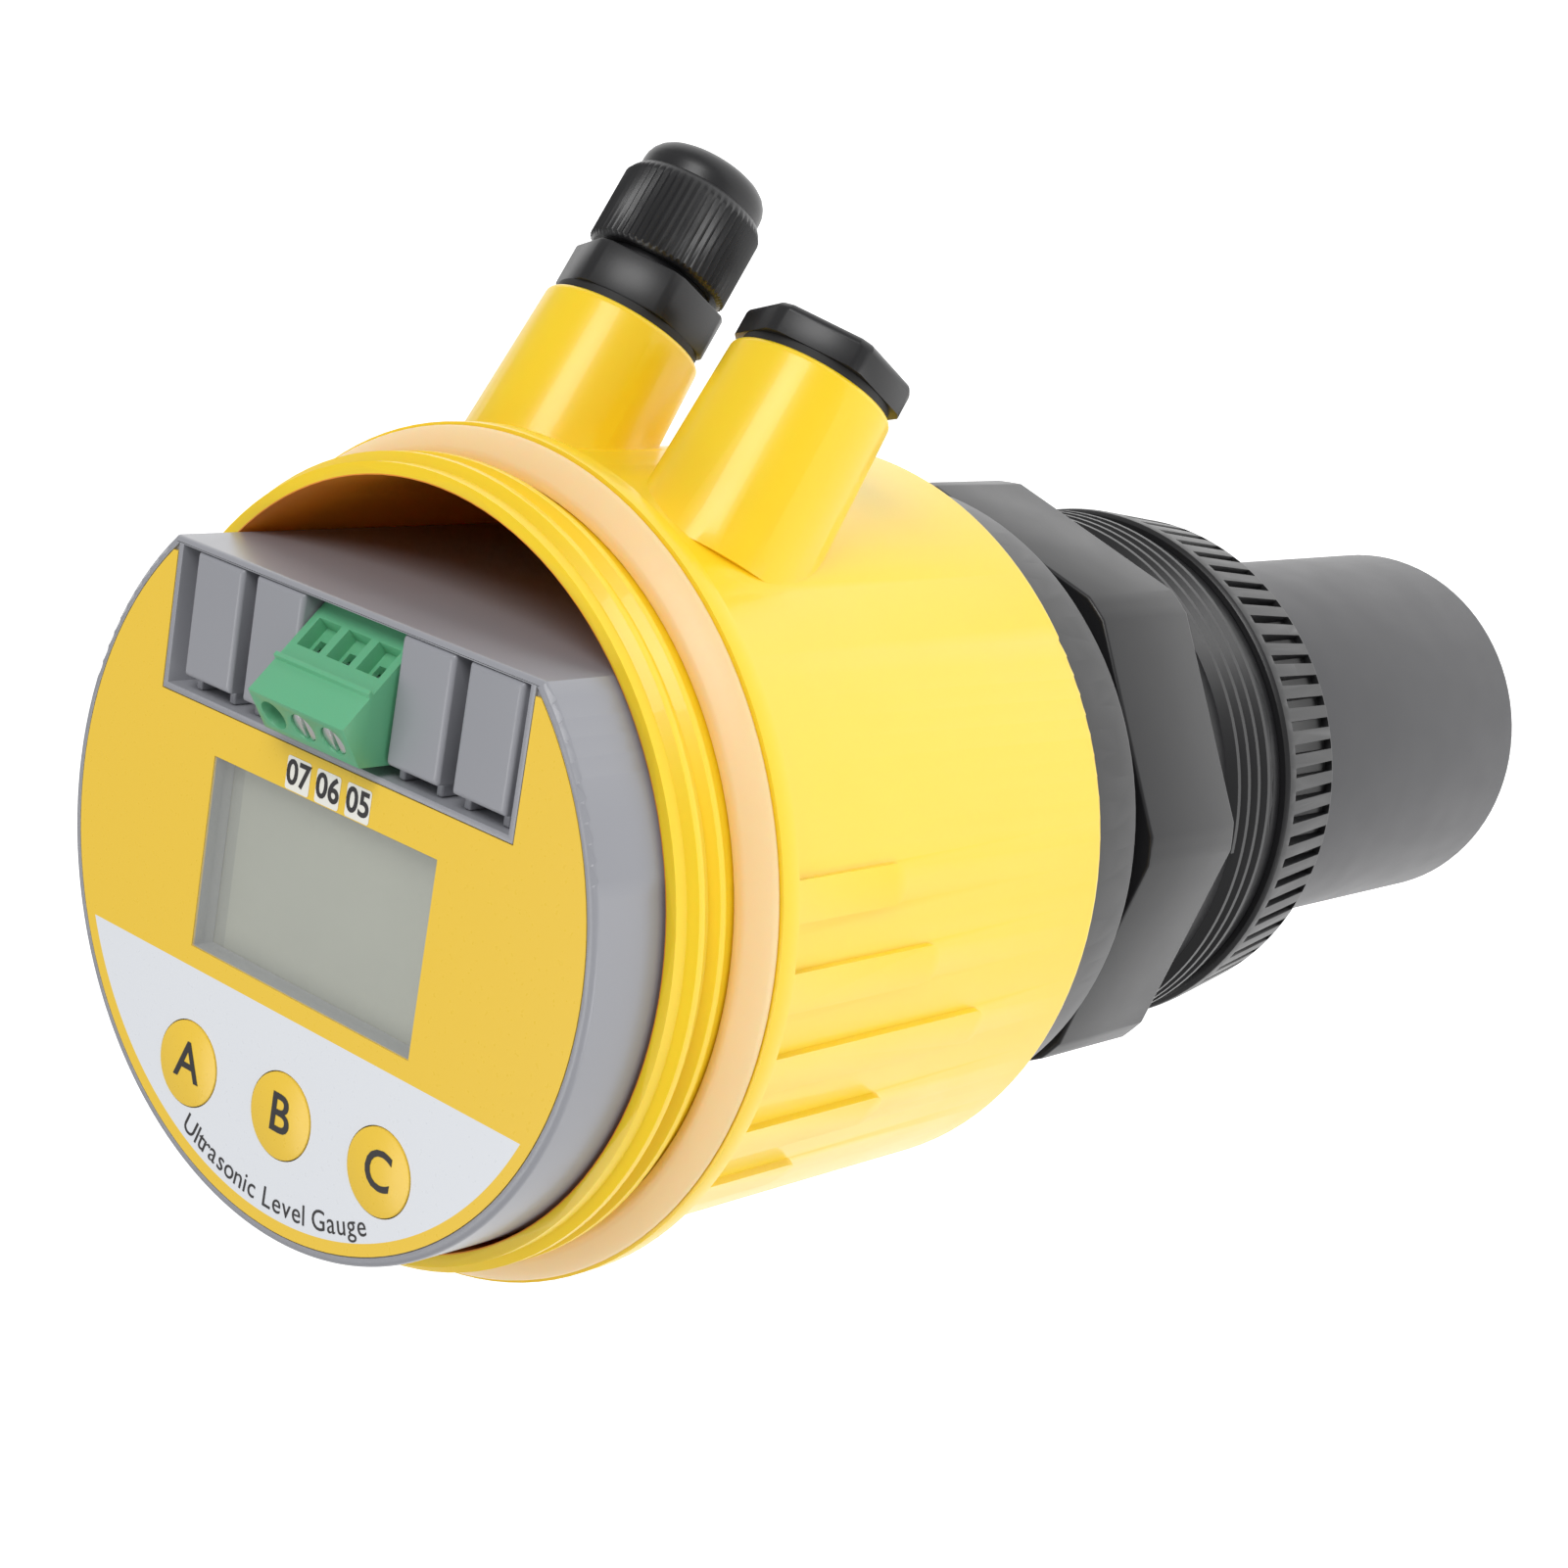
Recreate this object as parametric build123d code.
"""Ultrasonic tank level meter with its cover off: instrument head, cable entries and threaded probe.

Millimetres, +Z up along the instrument's axis. Z = 0 is the seat: the underside of the eight-sided
spanner section, which lands on the tank flange. The display faces +Z, the cable entries lean towards
+Y and the probe hangs down -Z. Every level named *_z is a height above the seat.
"""
from build123d import *
import os
from math import cos, pi, radians, sin, sqrt

# ---- driving dimensions ----------------------------------------------------------------------------
# levels up the instrument's axis
face_z = 98.0              # surface of the display film
mouth_z = 90.1             # top of the threaded neck
flange_z = 80.6            # top of the flange that the cover seal lies on
body_z = 30.3              # bottom of the yellow body
collar_z = 18.2            # bottom of the round black shoulder
spanner_z = 15.6           # top of the eight-sided section
thread_length = 14.0       # mounting thread, down from the seat
ring_z = -16.5             # top of the ribbed ring
ring_length = 12.4
probe_z = -84.5            # flat end of the probe

# housing
bore_r = 35.3              # bore of the neck and body
body_r = bore_r + 2.3
neck_root_r = bore_r + 1.2
neck_crest_r = neck_root_r + 0.9
neck_pitch = 2.6
neck_crests = 2
neck_lead = 2.2            # from the mouth to the first crest
crest_half = 0.35          # half the width of a crest's top, and of its root
crest_root_half = 0.9
seal_height = 2.6
flange_r = body_r + 2.4
flange_thickness = 2.1
body_floor = 4.0           # thickness of the body's bottom wall
grip_height = 0.6          # how far the grip ribs stand out
grip_width = 3.8
grip_lengths = (17.0, 23.0, 33.0, 23.0, 17.0)
grip_pitch = 12.4          # degrees
grip_middle = -13.3        # degrees, middle rib of the right-hand group

# cable entries
entry_spacing = 24.6       # between the two entry axes
entry_tilt = 30.0          # lean of the entries below the horizontal, degrees
entry_top_y = body_r + 9.7 # centre of an entry's end face
entry_top_z = 56.4
entry_top_r = 8.3
entry_base_r = 9.0
entry_length = 20.0
entry_rim_fillet = 0.7
entry_thread_d = 12.0      # M12 cable entry
entry_fit = 0.07           # radial clearance of the M12 threads

# probe
thread_d = 60.0            # M60 mounting thread
spanner_flats = 63.0       # across flats
spanner_corner_r = 33.5
spanner_turn = 29.0        # direction of the first flat, degrees
shoulder_r = 34.4
shoulder_rim_r = 33.6
ring_r = 29.9
ring_end_r = 28.6
ring_rim = 1.6             # smooth rim above the slots
ring_slots = 72
ring_slot_width = 1.1
ring_slot_depth = 0.9
tube_r = 22.3
tube_wall = 2.4
tube_seat = 2.0            # the tube's open end stops this far below the body
tube_face = 1.6            # thickness of the probe's flat face
spigot_r = bore_r - 7.3    # holder's spigot inside the body
spigot_height = 10.0
spigot_fit = 0.3
spigot_wall = 4.0
spigot_seal_r = 0.9        # section radius of the O-ring
pipe_fit = 0.02            # radial, between the tube and what is bonded round it
relief_depth = 1.0         # smooth neck between the thread and the ribbed ring
shoulder_height = 4.0
spanner_top_r = 31.0

# cable gland and blanking plug, measured up from an entry's end face
washer_height = 0.8
washer_r = 7.6
gland_flats = 14.6
gland_hex_height = 4.6
gland_bore_r = 4.6
gland_thread_height = 13.3 # end of the thread that the nut screws on
shank_length = 8.0         # M12 thread inside the entry
cable_r = 3.1
nut_r = 7.4
nut_start = 6.3            # underside of the nut
nut_height = 8.8
nut_dome_height = 3.4
nut_edge = 0.5
nut_dome_round = 2.6
plug_flats = 15.4
plug_corner_r = 8.5
plug_height = 3.1
plug_seat_gap = 0.02

# display module
module_gap = 0.4           # all round, between the module and the bore
module_r = bore_r - module_gap
flat_y = module_r - 9.9    # the module's flat top side
module_back_gap = 7.7      # between the module's back and the holder's spigot
module_depth = face_z - body_z - spigot_height - module_back_gap
module_wall = 1.6
film_thickness = 0.3
film_border = 0.9          # rim of the bezel left showing outside the film
bay_half_width = sqrt(module_r ** 2 - flat_y ** 2) - 1.35
bay_bottom_y = flat_y - 13.6
bay_depth = 9.0
bay_rim = 0.6              # frame around the bay
key_r = 4.1
key_gap = 0.1
key_spacing = 13.5
key_y = 12.0 - module_r
key_travel = 0.4
window_x = 2 * (module_r - 19.75)                    # display window
window_y = bay_bottom_y - key_y - 15.9
window_centre_y = bay_bottom_y - 4.75 - window_y / 2

# boards behind the front plate
board_z = face_z - 14.0
board_thickness = 1.6
power_board_z = face_z - module_depth + 14.0
switch_height = 3.5
spacer_x = module_r - 10.9
spacer_low_y = -11.0
spacer_high_y = bay_bottom_y - 7.4
spacer_places = [(x, y) for y in (spacer_low_y, spacer_high_y) for x in (-spacer_x, spacer_x)]

# terminal block and blanks
pole_pitch = 3.96
poles = 3
block_centre_x = 0.7
block_side = 0.4           # plastic outside the first and last pole
block_half = poles * pole_pitch / 2 + block_side
header_half = poles * pole_pitch / 2 - 0.04
blank_space = 1.8          # between two blanks on one side
blank_pitch = (bay_half_width - block_centre_x - block_half + 0.84) / 2
blank_width = blank_pitch - blank_space
blank_gap = 1.3            # between the blanks' lower ends and the bay's lower edge
screw_tilt = 34.0          # lean of the clamp screws away from +Z, degrees
screw_head_r = 1.4
screw_head_height = 1.5
screw_shaft_r = 0.95
screw_gap = 0.1
screw_sunk = (1.4, 0.2, 0.2)
cage_half = 1.35
cage_low = -7.2            # below the screw face, along the screw
cage_height = 3.0
cage_floor = 0.5
cage_travel = 1.2
pin_r = 0.5
pin_y = 5.6                # above the bay's lower edge


# ---- shape helpers ---------------------------------------------------------------------------------
def turned(*outline):
    """Solid of revolution about Z from (radius, height) corners."""
    corners = [(radius, 0, height) for radius, height in outline]
    return revolve(make_face(Polyline(*corners, close=True)), Axis.Z)


def rod(radius, low, high, x=0.0, y=0.0):
    """Upright cylinder between two heights."""
    return Pos(x, y, low) * Cylinder(radius, high - low, align=(Align.CENTER, Align.CENTER, Align.MIN))


def tube(outer, inner, low, high, x=0.0, y=0.0):
    """Upright ring between two heights."""
    return rod(outer, low, high, x, y) - rod(inner, low - 1, high + 1, x, y)


def brick(x_low, x_high, y_low, y_high, z_low, z_high):
    """Box between two corners."""
    size = (x_high - x_low, y_high - y_low, z_high - z_low)
    centre = ((x_low + x_high) / 2, (y_low + y_high) / 2, (z_low + z_high) / 2)
    return Pos(*centre) * Box(*size)


def prism(outline, x_low, x_high):
    """Solid of a (y, z) outline between two x places."""
    corners = [(x_low, y, z) for y, z in outline]
    return extrude(make_face(Polyline(*corners, close=True)), x_high - x_low, dir=(1, 0, 0))


def rounded_polygon(sides, across_flats, corner_r, height, first_flat=0.0):
    """Upright many-sided bar with its corners turned off, standing on the origin."""
    vertex_r = across_flats / 2 / cos(pi / sides)
    section = Rot(0, 0, first_flat + 180 / sides) * RegularPolygon(vertex_r, sides)
    return extrude(section, height) & rod(corner_r, -1, height + 1)


def save(name, shape):
    """Write one sub-part as a STEP file that carries the node's name."""
    shape.label = name
    export_step(shape, f"parts/{name}.step")


# ---- housing ---------------------------------------------------------------------------------------
def entry_place(side, along=0.0):
    """Local frame of a cable entry: +Z out of the entry, origin on its end face."""
    out = (0, cos(radians(entry_tilt)), -sin(radians(entry_tilt)))
    x = side * entry_spacing / 2
    origin = (x, entry_top_y + along * out[1], entry_top_z + along * out[2])
    return Plane(origin=origin, x_dir=(1, 0, 0), z_dir=out).location


def neck_outline():
    """Bore, neck with cover thread, flange and body down to the bottom wall."""
    outline = [(bore_r, mouth_z)]
    crest_z = mouth_z - neck_lead
    outline.append((neck_root_r, mouth_z))
    for crest in range(neck_crests):
        z = crest_z - crest * neck_pitch
        outline += [(neck_root_r, z + crest_root_half), (neck_crest_r, z + crest_half),
                    (neck_crest_r, z - crest_half), (neck_root_r, z - crest_root_half)]
    outline += [(neck_root_r, flange_z), (flange_r, flange_z)]
    outline += [(flange_r, flange_z - flange_thickness), (body_r, flange_z - flange_thickness)]
    outline += [(body_r, body_z), (bore_r, body_z)]
    return outline


def entry_boss():
    """Tapered boss on its own axis, its end face at the origin."""
    cone = Pos(0, 0, -entry_length) * Cone(entry_base_r, entry_top_r, entry_length,
                                           align=(Align.CENTER, Align.CENTER, Align.MIN))
    return fillet(cone.edges().group_by(Axis.Z)[-1], entry_rim_fillet)


def grip_rib(angle, length):
    """Raised rib on the body below the flange, with a rounded lower end."""
    top = flange_z - flange_thickness
    end_z = top - length + grip_width / 2
    straight = brick(body_r - 1, body_r + grip_height, -grip_width / 2, grip_width / 2,
                     end_z, top + 0.5)
    end = Pos(body_r - 1, 0, end_z) * Rot(0, 90, 0) * Cylinder(
        grip_width / 2, 1 + grip_height, align=(Align.CENTER, Align.CENTER, Align.MIN))
    return Rot(0, 0, angle) * (straight + end)


def housing():
    shell = turned(*neck_outline())
    shell = fillet(shell.edges().filter_by(GeomType.CIRCLE).filter_by(
        lambda edge: abs(edge.radius - body_r) < 0.01 and abs(edge.center().Z - body_z) < 0.01), 0.8)
    for side in (-1, 1):
        shell = shell + entry_place(side) * entry_boss()
    shell = shell - rod(bore_r, body_z - 1, mouth_z + 1)
    for count, length in enumerate(grip_lengths):
        angle = grip_middle + (2 - count) * grip_pitch
        shell = shell + grip_rib(angle, length) + grip_rib(180 - angle, length)
    floor = tube(bore_r + 0.5, spigot_r + spigot_fit, body_z, body_z + body_floor)
    shell = shell + floor
    for side in (-1, 1):
        shell = shell - entry_place(side) * rod(entry_thread_d / 2, -entry_length - 6, 1)
    return shell


def cover_seal():
    """Silicone lip seal in the corner between neck and flange."""
    inner = neck_root_r + 0.05
    outer = flange_r - 0.3
    return turned((inner, flange_z), (outer, flange_z), (outer, flange_z + 0.6),
                  (outer - 0.8, flange_z + 1.5), (neck_crest_r + 0.3, flange_z + seal_height),
                  (inner, flange_z + seal_height))


# ---- probe -----------------------------------------------------------------------------------------
def transducer_holder():
    """Black moulding: spigot, round shoulder, eight-sided section and mounting thread."""
    thread_r = thread_d / 2 - 0.1
    neck_r = thread_r - relief_depth
    thread_end = -thread_length
    shape = turned((0, body_z + spigot_height), (spigot_r, body_z + spigot_height), (spigot_r, body_z),
                   (shoulder_r, body_z), (shoulder_r, body_z - shoulder_height),
                   (shoulder_rim_r, collar_z + 0.6), (shoulder_rim_r - 0.6, collar_z),
                   (spanner_top_r, spanner_z), (thread_r, spanner_z), (thread_r, thread_end),
                   (neck_r, thread_end - 0.8), (neck_r, ring_z), (0, ring_z))
    flats = rounded_polygon(8, spanner_flats, spanner_corner_r, spanner_z, spanner_turn)
    shape = shape + flats
    tube_top = body_z - tube_seat
    shape = shape - rod(tube_r + pipe_fit, ring_z - 1, tube_top)
    return shape - rod(spigot_r - spigot_wall, tube_top - 0.01, body_z + spigot_height + 1)


def spigot_seal():
    """O-ring between the spigot and the body's bottom wall."""
    z = body_z + body_floor + spigot_seal_r + 0.1
    return Pos(0, 0, z) * Torus(spigot_r + spigot_seal_r + 0.02, spigot_seal_r)


def ribbed_ring():
    """Ring that clamps the tube below the thread, with fine slots all round."""
    bore = tube_r + pipe_fit
    low = ring_z - ring_length
    rim = ring_z - ring_rim
    shape = turned((bore, ring_z), (ring_r - 0.4, ring_z), (ring_r, ring_z - 0.4), (ring_r, rim),
                   (ring_end_r, low + 0.8), (ring_end_r - 0.8, low), (bore, low))
    slot = brick(ring_end_r - ring_slot_depth, ring_r + 1, -ring_slot_width / 2, ring_slot_width / 2,
                 low + 1.0, rim)
    cutters = [Rot(0, 0, 360 / ring_slots * count) * slot for count in range(ring_slots)]
    return shape - cutters


def probe_tube():
    """Closed tube that holds the transducer: open at the top, flat face below."""
    inner = tube_r - tube_wall
    top = body_z - tube_seat
    return turned((0, probe_z), (tube_r - 0.6, probe_z), (tube_r, probe_z + 0.6), (tube_r, top),
                  (inner, top), (inner, probe_z + tube_face), (0, probe_z + tube_face))


def transducer_stack():
    """Matching layer, piezo disc, backing and potting, one on the other inside the tube."""
    radius = tube_r - tube_wall - 0.05
    level = probe_z + tube_face
    layers = {"matching_layer": (radius, 4.0), "piezo_disc": (radius - 2.5, 6.0),
              "backing_block": (radius - 1.0, 18.0), "potting": (radius, 12.0)}
    stack = {}
    for name, (layer_r, height) in layers.items():
        stack[name] = rod(layer_r, level, level + height)
        level += height
    return stack


# ---- cable gland and blanking plug, drawn on their own axis -----------------------------------------
def entry_washer():
    return tube(washer_r, entry_thread_d / 2, 0, washer_height)


def gland_body():
    shank = entry_thread_d / 2 - entry_fit
    thread_top = gland_thread_height
    shape = rod(shank, -shank_length, washer_height)
    hexagon = Pos(0, 0, washer_height) * rounded_polygon(6, gland_flats, gland_flats / 2 + 0.75,
                                                         gland_hex_height)
    shape = shape + hexagon + rod(shank, washer_height, thread_top)
    return shape - rod(gland_bore_r, -shank_length - 1, thread_top + 1)


def gland_insert():
    """Rubber sealing sleeve that the nut squeezes round the cable."""
    low = nut_start + 2.4
    high = nut_start + nut_height + 0.2
    return tube(gland_bore_r - 0.3, cable_r + 0.3, low, high)


def gland_nut():
    """Domed nut: threaded inside below, narrowing to the cable hole above."""
    top = nut_start + nut_height
    tip = top + nut_dome_height
    thread_r = entry_thread_d / 2
    dome_r = nut_r - 0.9
    dome_low = tip - nut_dome_round
    dome_in = dome_r - nut_dome_round
    back = nut_dome_round * (1 - cos(radians(45)))
    profile = make_face([
        Polyline((cable_r, 0, tip), (cable_r, 0, top + 1.3), (thread_r, 0, top - 1.0),
                 (thread_r, 0, nut_start), (nut_r - nut_edge, 0, nut_start),
                 (nut_r, 0, nut_start + nut_edge), (nut_r, 0, top - nut_edge),
                 (nut_r - nut_edge, 0, top), (dome_r, 0, top), (dome_r, 0, dome_low)),
        ThreePointArc((dome_r, 0, dome_low), (dome_r - back, 0, tip - back), (dome_in, 0, tip)),
        Line((dome_in, 0, tip), (cable_r, 0, tip))])
    return revolve(profile, Axis.Z)


def blanking_plug():
    head_z = washer_height + plug_seat_gap
    head = Pos(0, 0, head_z) * rounded_polygon(6, plug_flats, plug_corner_r, plug_height)
    head = fillet(head.edges().group_by(Axis.Z)[-1], 0.9)
    return head + rod(entry_thread_d / 2 - entry_fit, -shank_length, washer_height + 0.5)


# ---- display module --------------------------------------------------------------------------------
def module_section(radius, flat, height, top):
    """Round disc with its +Y side cut flat, hanging down from a level."""
    return rod(radius, top - height, top) & brick(-radius, radius, -radius, flat, top - height, top)


def bezel():
    """Grey tray: rim, flat top, front plate, terminal bay and key openings."""
    shell = module_section(module_r, flat_y, module_depth, face_z)
    front = shell.edges().group_by(Axis.Z)[-1]
    shell = fillet(front, 0.6)
    plate = film_thickness + 2.2
    cavity = module_section(module_r - module_wall, flat_y - module_wall, module_depth, face_z - plate)
    bay_box = brick(-bay_half_width - 1.2, bay_half_width + 1.2, bay_bottom_y - 1.2, flat_y,
                    face_z - bay_depth - 1.2, face_z)
    bay = brick(-bay_half_width, bay_half_width, bay_bottom_y, flat_y - 0.6,
                face_z - bay_depth, face_z + 1)
    film_recess = (module_section(module_r - film_border, flat_y + 1, film_thickness, face_z)
                   - brick(-bay_half_width - bay_rim, bay_half_width + bay_rim,
                           bay_bottom_y - bay_rim, flat_y + 2, face_z - 1, face_z + 1))
    shell = shell - (cavity - bay_box) - bay - film_recess
    window = brick(-window_x / 2, window_x / 2, window_centre_y - window_y / 2,
                   window_centre_y + window_y / 2, face_z - 5, face_z + 1)
    shell = shell - window
    for x in (-key_spacing, 0, key_spacing):
        shell = shell - rod(key_r + 0.4, face_z - 5, face_z + 1, x, key_y)
    for x, y in spacer_places:
        shell = shell + tube(2.8, 1.3, board_z + board_thickness, face_z - plate, x, y)
        shell = shell - rod(1.3, board_z, face_z - 5.0, x, y)
    slot_half = header_half + 0.1
    header_slot = brick(block_centre_x - slot_half, block_centre_x + slot_half, bay_bottom_y + 1.6,
                        flat_y - 3.6, face_z - bay_depth - 2, face_z - bay_depth + 1)
    return shell - header_slot


def face_film():
    """Printed front film with the window printed round and the keys cut free."""
    gap = 0.1
    film = module_section(module_r - film_border - gap, flat_y, film_thickness, face_z)
    edge = bay_half_width + bay_rim + gap
    film = film - brick(-edge, edge, bay_bottom_y - bay_rim - gap, flat_y + 1, face_z - 1, face_z + 1)
    corner_y = flat_y - 1.4
    film = film - brick(-module_r, module_r, corner_y, flat_y + 1, face_z - 1, face_z + 1)
    for x in (-key_spacing, 0, key_spacing):
        film = film - rod(key_r + key_gap, face_z - 1, face_z + 1, x, key_y)
    window = brick(-window_x / 2, window_x / 2, window_centre_y - window_y / 2,
                   window_centre_y + window_y / 2, face_z - 1, face_z + 1)
    return film - window


def lcd_window():
    return brick(-window_x / 2 + 0.05, window_x / 2 - 0.05, window_centre_y - window_y / 2 + 0.05,
                 window_centre_y + window_y / 2 - 0.05, face_z - 1.4, face_z - 0.05)


def lcd_panel():
    return brick(-window_x / 2 - 2, window_x / 2 + 2, window_centre_y - window_y / 2 - 2,
                 window_centre_y + window_y / 2 + 2, face_z - 5.6, face_z - 2.6)


def lcd_carrier():
    """Frame that holds the glass above the board."""
    outer = brick(-window_x / 2 - 2, window_x / 2 + 2, window_centre_y - window_y / 2 - 2,
                  window_centre_y + window_y / 2 + 2, board_z + board_thickness, face_z - 5.6)
    inner = brick(-window_x / 2, window_x / 2, window_centre_y - window_y / 2,
                  window_centre_y + window_y / 2, board_z, face_z)
    return outer - inner


def board(top):
    plate = module_section(module_r - module_wall - 1.0, flat_y - module_wall - 1.0,
                           board_thickness, top + board_thickness)
    for x, y in spacer_places:
        plate = plate - rod(1.6, top - 1, top + board_thickness + 1, x, y)
    return plate


def spacers():
    """Four pillars between the two boards."""
    return [tube(2.8, 1.3, power_board_z + board_thickness, board_z, x, y) for x, y in spacer_places]


def board_screws():
    """Four long screws, up through both boards and the pillars into the bezel's posts."""
    low = power_board_z
    return [rod(2.5, low - 1.8, low, x, y) + rod(1.2, low - 0.5, face_z - 6.0, x, y)
            for x, y in spacer_places]


def key_switches():
    """Three push switches on the board under the keys."""
    top = board_z + board_thickness
    return [brick(x - 3, x + 3, key_y - 3, key_y + 3, top, top + switch_height)
            + rod(1.7, top + switch_height, top + switch_height + 0.8, x, key_y)
            for x in (-key_spacing, 0, key_spacing)]


def key(x):
    """Film key with a stem that reaches down to its switch."""
    top = face_z + 0.15
    switch_top = board_z + board_thickness + switch_height + 0.8
    return (rod(key_r, top - 0.6, top, x, key_y)
            + rod(1.5, switch_top + key_travel + 0.1, top - 0.3, x, key_y))


def back_cover():
    """Plate that closes the module from behind, with a hole for the leads."""
    low = face_z - module_depth
    edge = module_wall + 0.05
    plate = module_section(module_r - edge, flat_y - edge, 2.0, low + 2.0)
    return plate - brick(-8, 8, -5, 5, low - 1, low + 3)


def power_parts():
    """Transformer and capacitors on the power board."""
    top = power_board_z + board_thickness
    can_x = spacer_x - 9.0
    can_y = 16.9 - module_r
    core = spacer_x - 15.0
    return [brick(-core, core, -16, 0, top, top + 11), rod(4.0, top, top + 12, can_x, can_y),
            rod(4.0, top, top + 12, -can_x, can_y)]


# ---- terminal block and blanks ---------------------------------------------------------------------
def pole_x(pole):
    return block_centre_x + (pole - (poles - 1) / 2) * pole_pitch


def block_outline():
    """Side outline in y and z: flat back and foot, 45 degree entry slope, leaning screw face."""
    foot = face_z - bay_depth + 2.0
    front = bay_bottom_y + 1.1
    back = bay_bottom_y + 12.5
    return [(front, foot), (back, foot), (back, face_z - 2.6), (back - 7.8, face_z + 5.2),
            (front, face_z + 2.75)]


def screw_place(pole):
    """Local frame of a clamp screw: +Z out of the screw face, origin on the face."""
    out = (0, -sin(radians(screw_tilt)), cos(radians(screw_tilt)))
    return Plane(origin=(pole_x(pole), bay_bottom_y + 2.9, face_z + 3.98), x_dir=(1, 0, 0), z_dir=out).location


def wire_place(pole):
    """Local frame of a wire entry: +Z out of the 45 degree slope."""
    origin = (pole_x(pole), bay_bottom_y + 9.9, face_z)
    return Plane(origin=origin, x_dir=(1, 0, 0), z_dir=(0, 1, 1)).location


def terminal_block():
    left = block_centre_x - block_half
    right = block_centre_x + block_half
    y = bay_bottom_y + 7.3
    ledge = prism([(y, face_z + 2.6), (y + 0.3, face_z + 2.3), (y + 0.7, face_z + 2.55),
                   (y + 0.4, face_z + 2.85)], left, right)
    shape = prism(block_outline(), left, right) + ledge
    for pole in range(poles):
        shape = shape - screw_place(pole) * rod(screw_head_r + screw_gap, cage_low + cage_height - 1, 1)
        well = brick(-cage_half - 0.1, cage_half + 0.1, -cage_half - 0.1, cage_half + 0.1,
                     cage_low - 0.2, cage_low + cage_height + cage_travel + 0.2)
        shape = shape - screw_place(pole) * well
        funnel = wire_place(pole) * brick(-1.5, 1.5, -1.6, 1.6, -1.5, 1)
        throat = wire_place(pole) * brick(-1.1, 1.1, -1.2, 0.2, -3.6, 0)
        shape = shape - funnel - throat
        shape = shape - rod(pin_r + 0.15, face_z - bay_depth, face_z - 3.4, pole_x(pole), bay_bottom_y + pin_y)
    return shape


def terminal_screw(pole, sunk):
    """Slotted clamp screw; one of them sits deeper than the others."""
    top = -sunk
    shaft_end = cage_low + cage_floor + cage_travel + 0.2
    shape = rod(screw_head_r, top - screw_head_height, top) + rod(screw_shaft_r, shaft_end, top - 1)
    slot = brick(-0.3, 0.3, -2, 2, top - 0.7, top + 1)
    return screw_place(pole) * (shape - slot)


def clamp_cage(pole):
    """Metal cage that rises to the screw and grips the wire."""
    shape = brick(-cage_half, cage_half, -cage_half, cage_half, cage_low, cage_low + cage_height)
    floor = cage_low + cage_floor
    window = brick(-cage_half + 0.5, cage_half - 0.5, -2, 2, floor, cage_low + 2.0)
    hole = rod(screw_shaft_r + 0.05, floor, cage_low + cage_height + 1)
    return screw_place(pole) * (shape - window - hole)


def terminal_header():
    """Socket base in the bay's floor with one pin for each pole."""
    floor = face_z - bay_depth
    shape = brick(block_centre_x - header_half, block_centre_x + header_half, bay_bottom_y + 1.7,
                  flat_y - 3.7, floor - 1.2, floor + 1.95)
    for pole in range(poles):
        shape = shape + rod(pin_r, board_z + board_thickness, face_z - 3.8, pole_x(pole), bay_bottom_y + pin_y)
    return shape


def blank_x(place):
    """Middle of a blank: two on each side of the terminal block."""
    from_block = blank_width / 2 + 0.2 + block_half
    side = -1 if place < 2 else 1
    step = {0: 1, 1: 0, 2: 0, 3: 1}[place]
    return block_centre_x + side * (from_block + step * blank_pitch)


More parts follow.
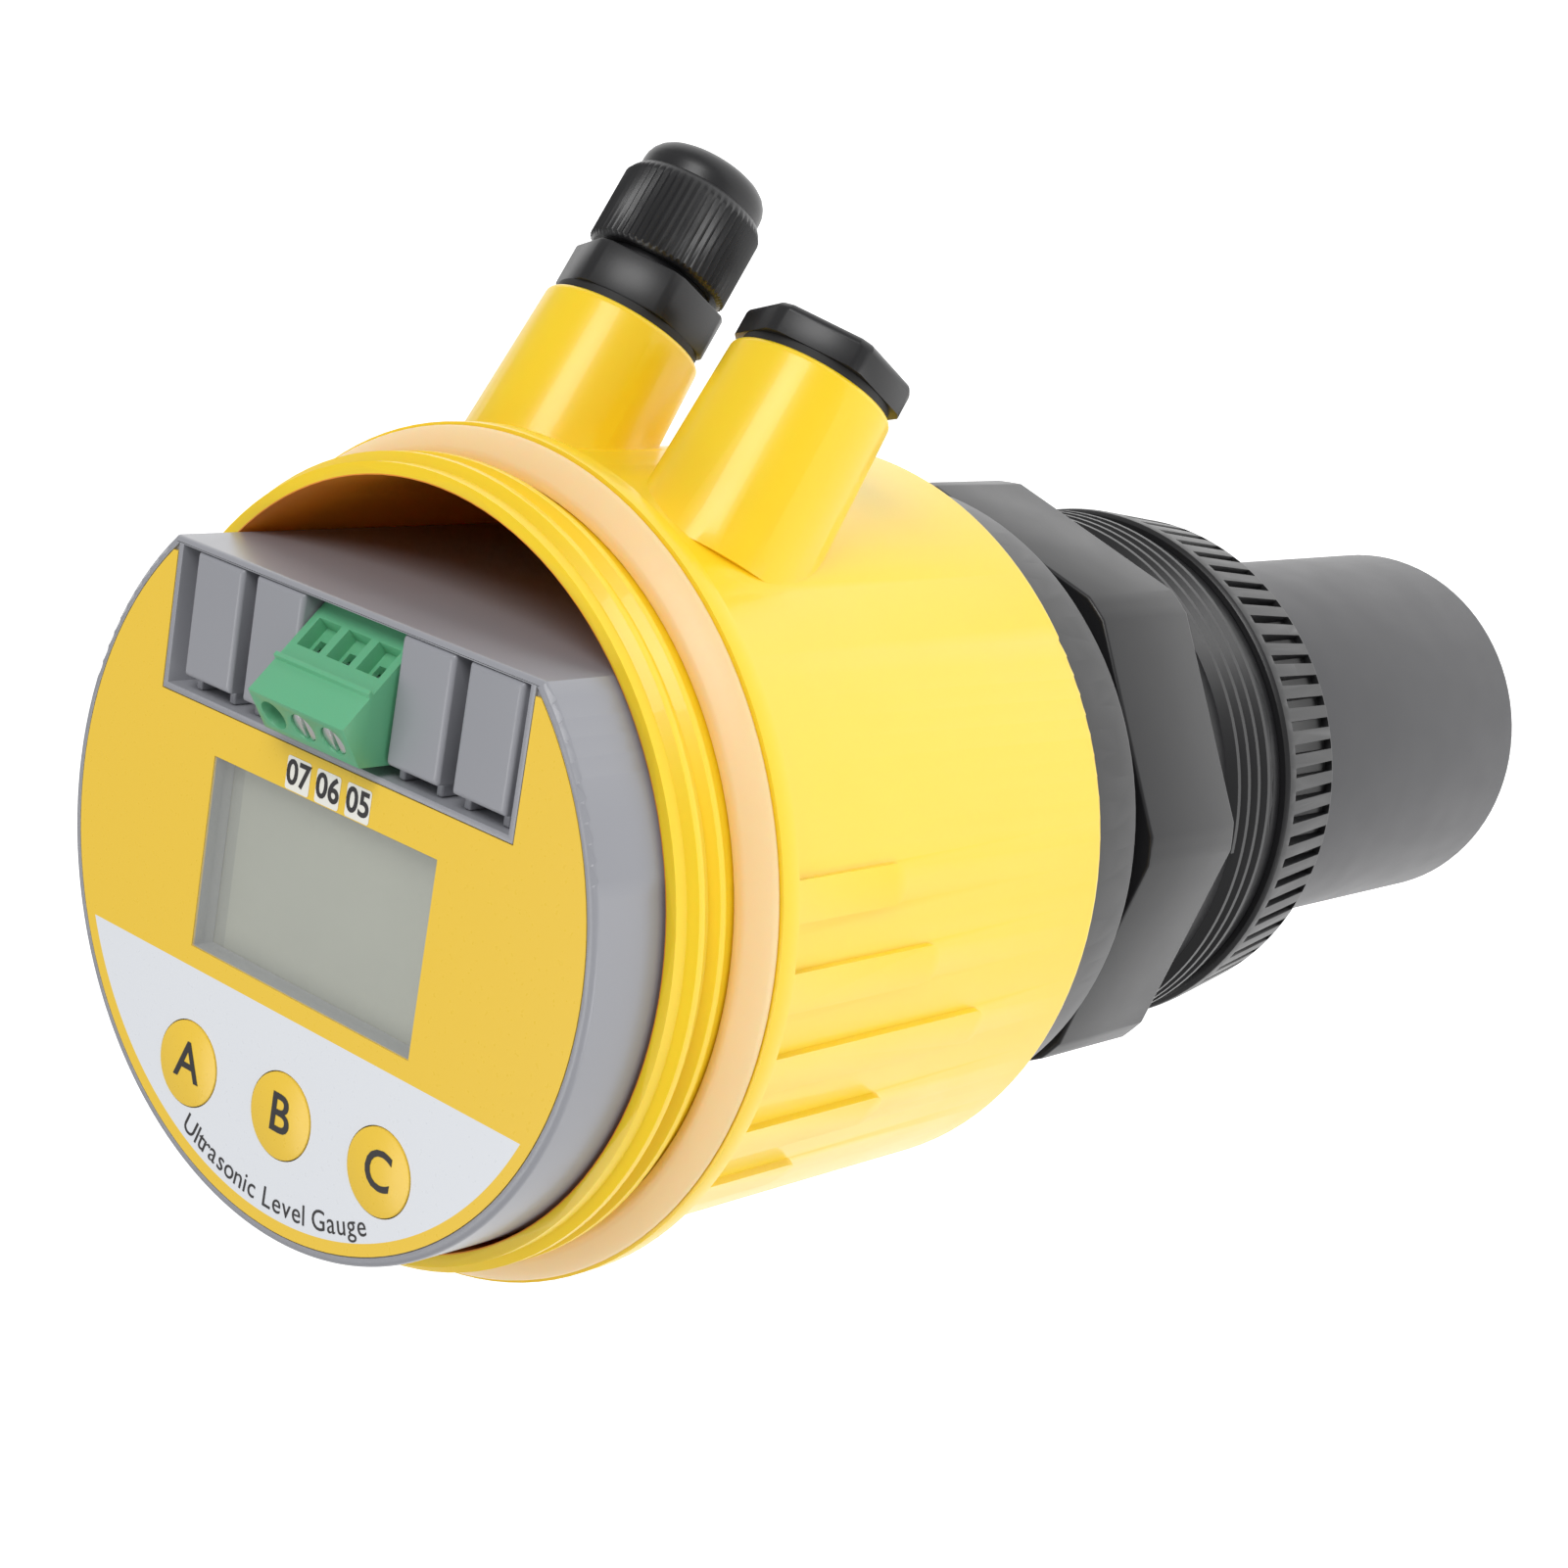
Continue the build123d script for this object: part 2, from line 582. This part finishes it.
def blank(place):
    """Clip-in blank for an unused terminal place, with a slot in its top and two feet."""
    x = blank_x(place)
    low = bay_bottom_y + blank_gap
    high = flat_y - 0.7
    shape = brick(x - blank_width / 2, x + blank_width / 2, low, high, face_z - bay_depth + 0.1,
                  face_z + 0.1)
    shape = fillet(shape.edges().group_by(Axis.Z)[-1], 0.5)
    shape = shape - brick(x - 2.2, x + 2.2, high - 0.5, high + 1, face_z - 3, face_z - 0.6)
    for foot in (-1, 1):
        foot_x = x + foot * (blank_width / 2 - 0.9)
        shape = shape + brick(foot_x - 0.4, foot_x + 0.4, bay_bottom_y + 0.05, low + 0.5,
                              face_z - bay_depth + 0.1, face_z - 1.2)
    return shape


# ---- write the sub-parts ---------------------------------------------------------------------------
def write_all():
    os.makedirs("parts", exist_ok=True)
    save("housing", housing())
    save("cover_seal", cover_seal())
    save("transducer_holder", transducer_holder())
    save("spigot_seal", spigot_seal())
    save("ribbed_ring", ribbed_ring())
    save("probe_tube", probe_tube())
    for name, layer in transducer_stack().items():
        save(name, layer)
    gland_side = entry_place(-1)
    plug_side = entry_place(1)
    save("gland_washer", gland_side * entry_washer())
    save("gland_body", gland_side * gland_body())
    save("gland_insert", gland_side * gland_insert())
    save("gland_nut", gland_side * gland_nut())
    save("plug_washer", plug_side * entry_washer())
    save("blanking_plug", plug_side * blanking_plug())
    save("bezel", bezel())
    save("face_film", face_film())
    save("lcd_window", lcd_window())
    save("lcd_panel", lcd_panel())
    save("lcd_carrier", lcd_carrier())
    save("main_board", board(board_z))
    save("power_board", board(power_board_z))
    save("board_spacers", Compound(children=spacers()))
    save("board_screws", Compound(children=board_screws()))
    save("key_switches", Compound(children=key_switches()))
    save("power_parts", Compound(children=power_parts()))
    save("back_cover", back_cover())
    for name, x in (("key_a", -key_spacing), ("key_b", 0), ("key_c", key_spacing)):
        save(name, key(x))
    save("terminal_block", terminal_block())
    save("terminal_header", terminal_header())
    for pole, sunk in enumerate(screw_sunk):
        save(f"terminal_screw_{pole + 1}", terminal_screw(pole, sunk))
        save(f"clamp_cage_{pole + 1}", clamp_cage(pole))
    for place in range(4):
        save(f"terminal_blank_{place + 1}", blank(place))


write_all()
